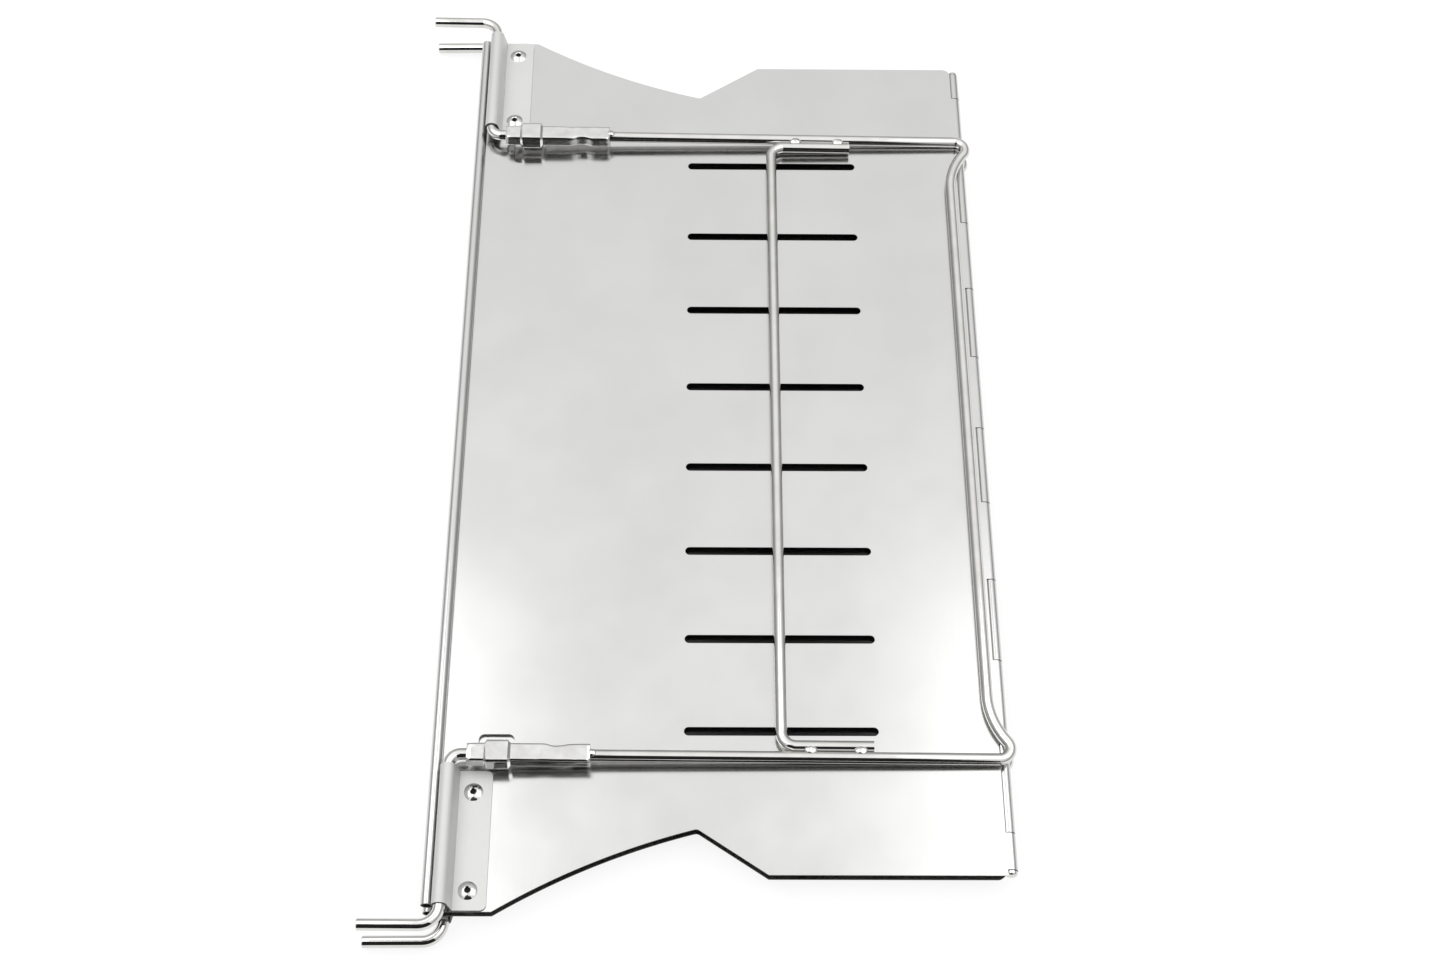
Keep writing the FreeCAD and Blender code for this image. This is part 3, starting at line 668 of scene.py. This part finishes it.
def make_sleeve():
    """The sleeve at the back end: a flattened tube with a raised collar, dented by hand."""
    bm = bmesh.new()
    middle = Vector((SLEEVE_START_X, ARM_HALF, LOOP.z))
    half_width = SLEEVE_WIDTH / 2
    half_height = SLEEVE_HEIGHT / 2
    section = rounded_loop(bm, (-half_height, -half_width), (half_height, half_width), 0,
                           SLEEVE_EDGE_RADIUS, 6)
    flats = [edge for edge in section if edge.calc_length() > SLEEVE_EDGE_RADIUS]
    bmesh.ops.subdivide_edges(bm, edges=flats, cuts=SLEEVE_FLAT_CUTS)
    section = list(bm.edges)
    upright = Matrix.Rotation(math.pi / 2, 3, "Y")
    bmesh.ops.rotate(bm, cent=(0, 0, 0), matrix=upright, verts=bm.verts)
    bmesh.ops.translate(bm, verts=bm.verts, vec=middle)
    start, end = HEM_X + COLLAR_START_X, HEM_X + COLLAR_END_X
    stations = [(start - COLLAR_SLOPE_OUT, 0), (start + COLLAR_SLOPE_IN, COLLAR_BULGE),
                (end - COLLAR_SLOPE_IN, COLLAR_BULGE), (end + COLLAR_SLOPE_OUT, 0),
                (SLEEVE_END_X, 0)]
    x = SLEEVE_START_X
    bulge = 0
    for station, wanted in stations:
        count = max(1, round((station - x) / SLEEVE_STEP))
        for step in range(1, count + 1):
            share = step / count
            now = bulge + (wanted - bulge) * share
            before = bulge + (wanted - bulge) * (share - 1 / count)
            section = draw_out(bm, section, ALONG_X * (station - x) / count)
            grow = Vector((1, (half_width + now) / (half_width + before),
                           (half_height + now) / (half_height + before)))
            centre = Matrix.Translation(-Vector((0, ARM_HALF, LOOP.z)))
            bmesh.ops.scale(bm, vec=grow, space=centre, verts=ends_of(section))
        x = station
        bulge = wanted
    bm.normal_update()
    outwards = [(vert, Vector((0, vert.co.y - ARM_HALF, vert.co.z - LOOP.z)).normalized())
                for vert in bm.verts]
    for vert, out in outwards:
        dent = sum(noise.noise(vert.co / size) * depth for size, depth in DENTS)
        vert.co -= out * (abs(dent) + dent * DENT_LEAN)
        crimp = math.exp(-((vert.co.x - HEM_X - CRIMP_X) / (CRIMP_LENGTH / 2)) ** 4)
        if vert.co.y < ARM_HALF - CRIMP_SIDE * half_width:
            vert.co.y += CRIMP_DEPTH * crimp
    return laid_down(bm)


def bead(bm, centre, radii):
    """A weld bead: a flattened ball with a slightly lumpy surface."""
    place = Matrix.Translation(centre) @ Matrix.Diagonal((*radii, 1))
    made = bmesh.ops.create_icosphere(bm, subdivisions=4, radius=1.0, matrix=place)
    size, depth = WELD_LUMPS
    for vert in made["verts"]:
        push = noise.noise(vert.co / size) * depth
        vert.co += (vert.co - centre).normalized() * push


def make_brace_welds():
    """Two beads on each of the brace's short legs, against the arm."""
    bm = bmesh.new()
    for sign in (1, -1):
        for x in BRACE_WELD_X:
            y = sign * (ARM_HALF - WIRE_RADIUS)
            bead(bm, Vector((HEM_X + x, y, LOOP.z + BRACE_WELD_RISE)), BRACE_WELD_RADII)
    return laid_down(bm)


def make_sleeve_welds():
    """A tack on top of each arm where it leaves its sleeve."""
    bm = bmesh.new()
    for sign in (1, -1):
        x = SLEEVE_END_X + SLEEVE_WELD_OUT
        bead(bm, Vector((x, sign * ARM_HALF, LOOP.z + SLEEVE_WELD_RISE)), SLEEVE_WELD_RADII)
    return laid_down(bm)


def make_hinge_pin():
    """The long pin, with a rounded head at each end."""
    bm = bmesh.new()
    low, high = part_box("hinge_pin")
    head = (high.x - low.x) / 2
    half = (high.y - low.y) / 2
    dome = [(head * math.sin(a), half - PIN_HEAD_ROUNDING * (1 - math.cos(a)))
            for a in (math.pi / 2 * k / 6 for k in range(7))]
    turned = dome + [(head, half - PIN_HEAD_LENGTH), (PIN_RADIUS, half - PIN_HEAD_LENGTH)]
    profile = turned + [(reach, -height) for reach, height in reversed(turned)]
    lathe(bm, profile, PIN, ALONG_Y, ALONG_X)
    return bm


def finished(bm, node, material, slot, sheet=False):
    """Makes the shape a piece that stands for its node and rides on that node's body.

    material may be a tuple, for a shape whose faces say which they take; a sheet shape is
    a bare skin, which gets its thickness here."""
    bmesh.ops.remove_doubles(bm, verts=bm.verts, dist=SAME_VERT)
    bmesh.ops.recalc_face_normals(bm, faces=bm.faces)
    mesh = bpy.data.meshes.new(node + "_steel")
    bm.to_mesh(mesh)
    bm.free()
    mesh.polygons.foreach_set("use_smooth", [True] * len(mesh.polygons))
    mesh.set_sharp_from_angle(angle=SHARP)
    for coat in material if isinstance(material, tuple) else (material,):
        mesh.materials.append(coat)
    piece = bpy.data.objects.new(node + "_steel", mesh)
    bpy.context.scene.collection.objects.link(piece)
    if sheet:
        wall = piece.modifiers.new("wall", "SOLIDIFY")
        wall.thickness = SHEET
        wall.offset = -1
        wall.use_even_offset = True
    flat = piece.modifiers.new("flat_shading", "WEIGHTED_NORMAL")
    flat.keep_sharp = True
    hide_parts(node)
    bodies = frame["record"]["behaviour"]["bodies"]
    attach(piece, next(name for name, nodes in bodies.items() if node in nodes))


def both_halves(name, shape, *finish, **options):
    """The upper piece and its lower twin, which the half turn brings to the other end."""
    swapped = {"back": "front", "front": "back"}
    end, _, rest = name.partition("_")
    twin = swapped[end] + "_" + rest if end in swapped else name
    finished(turned_over(shape), "lower_" + twin, *finish, **options)
    finished(shape, "upper_" + name, *finish, **options)


def both_ends(name, shape, *finish, **options):
    both_halves("front_" + name, mirrored(shape), *finish, **options)
    both_halves("back_" + name, shape, *finish, **options)


both_halves("leaf", make_leaf(), (SHEET_STEEL, SHEARED_EDGE_AND_PAINTED_SHADE), "sheet_steel")
both_ends("strap", make_strap(), (STRAP_STEEL, SHEARED_EDGE_AND_PAINTED_SHADE), "sheet_steel")
both_ends("rivets", make_rivets(), (RIVET_STEEL, RIVET_BORE_PAINTED_SHADE), "rivet_steel")
both_ends("hook_wire", make_hook_wire(), WIRE_STEEL, "wire_steel")
both_ends("sleeve", make_sleeve(), SLEEVE_STEEL, "sleeve_steel", sheet=True)
both_halves("leg_wire", make_leg_wire(), WIRE_STEEL, "wire_steel")
both_halves("brace_wire", make_brace_wire(), WIRE_STEEL, "wire_steel")
both_halves("brace_welds", make_brace_welds(), WELD_STEEL, "weld_steel")
both_halves("sleeve_welds", make_sleeve_welds(), WELD_STEEL, "weld_steel")
finished(make_hinge_pin(), "hinge_pin", WIRE_STEEL, "wire_steel")


# ---------------------------------------------------------------- floor, light and camera

def make_floor():
    bm = bmesh.new()
    bmesh.ops.create_grid(bm, x_segments=1, y_segments=1, size=FLOOR_SIZE)
    mesh = bpy.data.meshes.new("floor")
    bm.to_mesh(mesh)
    bm.free()
    mesh.materials.append(glowing_floor_with_painted_shadow())
    floor = bpy.data.objects.new("floor", mesh)
    bpy.context.scene.collection.objects.link(floor)


def softbox(name, place, aim, size, power):
    data = bpy.data.lights.new(name, "AREA")
    data.shape = "RECTANGLE"
    data.size, data.size_y = size
    data.energy = power
    light = bpy.data.objects.new(name, data)
    light.location = place
    light.rotation_euler = (Vector(aim) - Vector(place)).to_track_quat("-Z", "Y").to_euler()
    bpy.context.scene.collection.objects.link(light)


def make_room():
    """A plain pale room, lit from above and dimmer towards the floor."""
    world = bpy.data.worlds.new("studio")
    world.use_nodes = True
    tree = world.node_tree
    place = add(tree, "ShaderNodeTexCoord").outputs["Generated"]
    height = add(tree, "ShaderNodeSeparateXYZ", Vector=place).outputs["Z"]
    colour = ramp(tree, height, [(at, srgb(code)) for at, code in ROOM_STOPS])
    tree.links.new(colour, tree.nodes["Background"].inputs["Color"])
    tree.nodes["Background"].inputs["Strength"].default_value = ROOM_STRENGTH
    bpy.context.scene.world = world


def make_flags():
    """Two black cards in front of the pack. Only reflections see them: the low one gives the
    wires their dark lines, the high one darkens the sleeves' near sides."""
    bm = bmesh.new()
    for place, width, height in FLAGS:
        turn = Matrix.Translation(place) @ Matrix.Rotation(math.pi / 2, 4, "X")
        bmesh.ops.create_grid(bm, x_segments=1, y_segments=1, size=0.5,
                              matrix=turn @ Matrix.Diagonal((width, height, 1, 1)))
    mesh = bpy.data.meshes.new("black_flag")
    bm.to_mesh(mesh)
    bm.free()
    mesh.materials.append(plain("black_velvet", "0A0A0A", 1.0))
    flag = bpy.data.objects.new("black_flag", mesh)
    flag.visible_camera = False
    flag.visible_diffuse = False
    bpy.context.scene.collection.objects.link(flag)


def make_light():
    make_room()
    make_flags()
    for name, x, power in SOFTBOXES:
        softbox(name, (x, SOFTBOX_Y, SOFTBOX_Z), (x, SOFTBOX_Y, 0), SOFTBOX_SIZE, power)


def make_camera():
    """Stands over the near side of the pack and looks steeply down at it."""
    data = bpy.data.cameras.new("camera")
    data.sensor_width = 36
    data.lens = CAMERA_LENS
    camera = bpy.data.objects.new("camera", data)
    turn = (Matrix.Rotation(-CAMERA_ASIDE, 4, "Z")
            @ Matrix.Rotation(math.pi / 2 - CAMERA_DOWN, 4, "X")
            @ Matrix.Rotation(CAMERA_ROLL, 4, "Z"))
    camera.matrix_world = Matrix.Translation(CAMERA_PLACE) @ turn
    bpy.context.scene.collection.objects.link(camera)
    bpy.context.scene.camera = camera


make_floor()
make_light()
make_camera()
bpy.context.scene.view_settings.view_transform = "Standard"
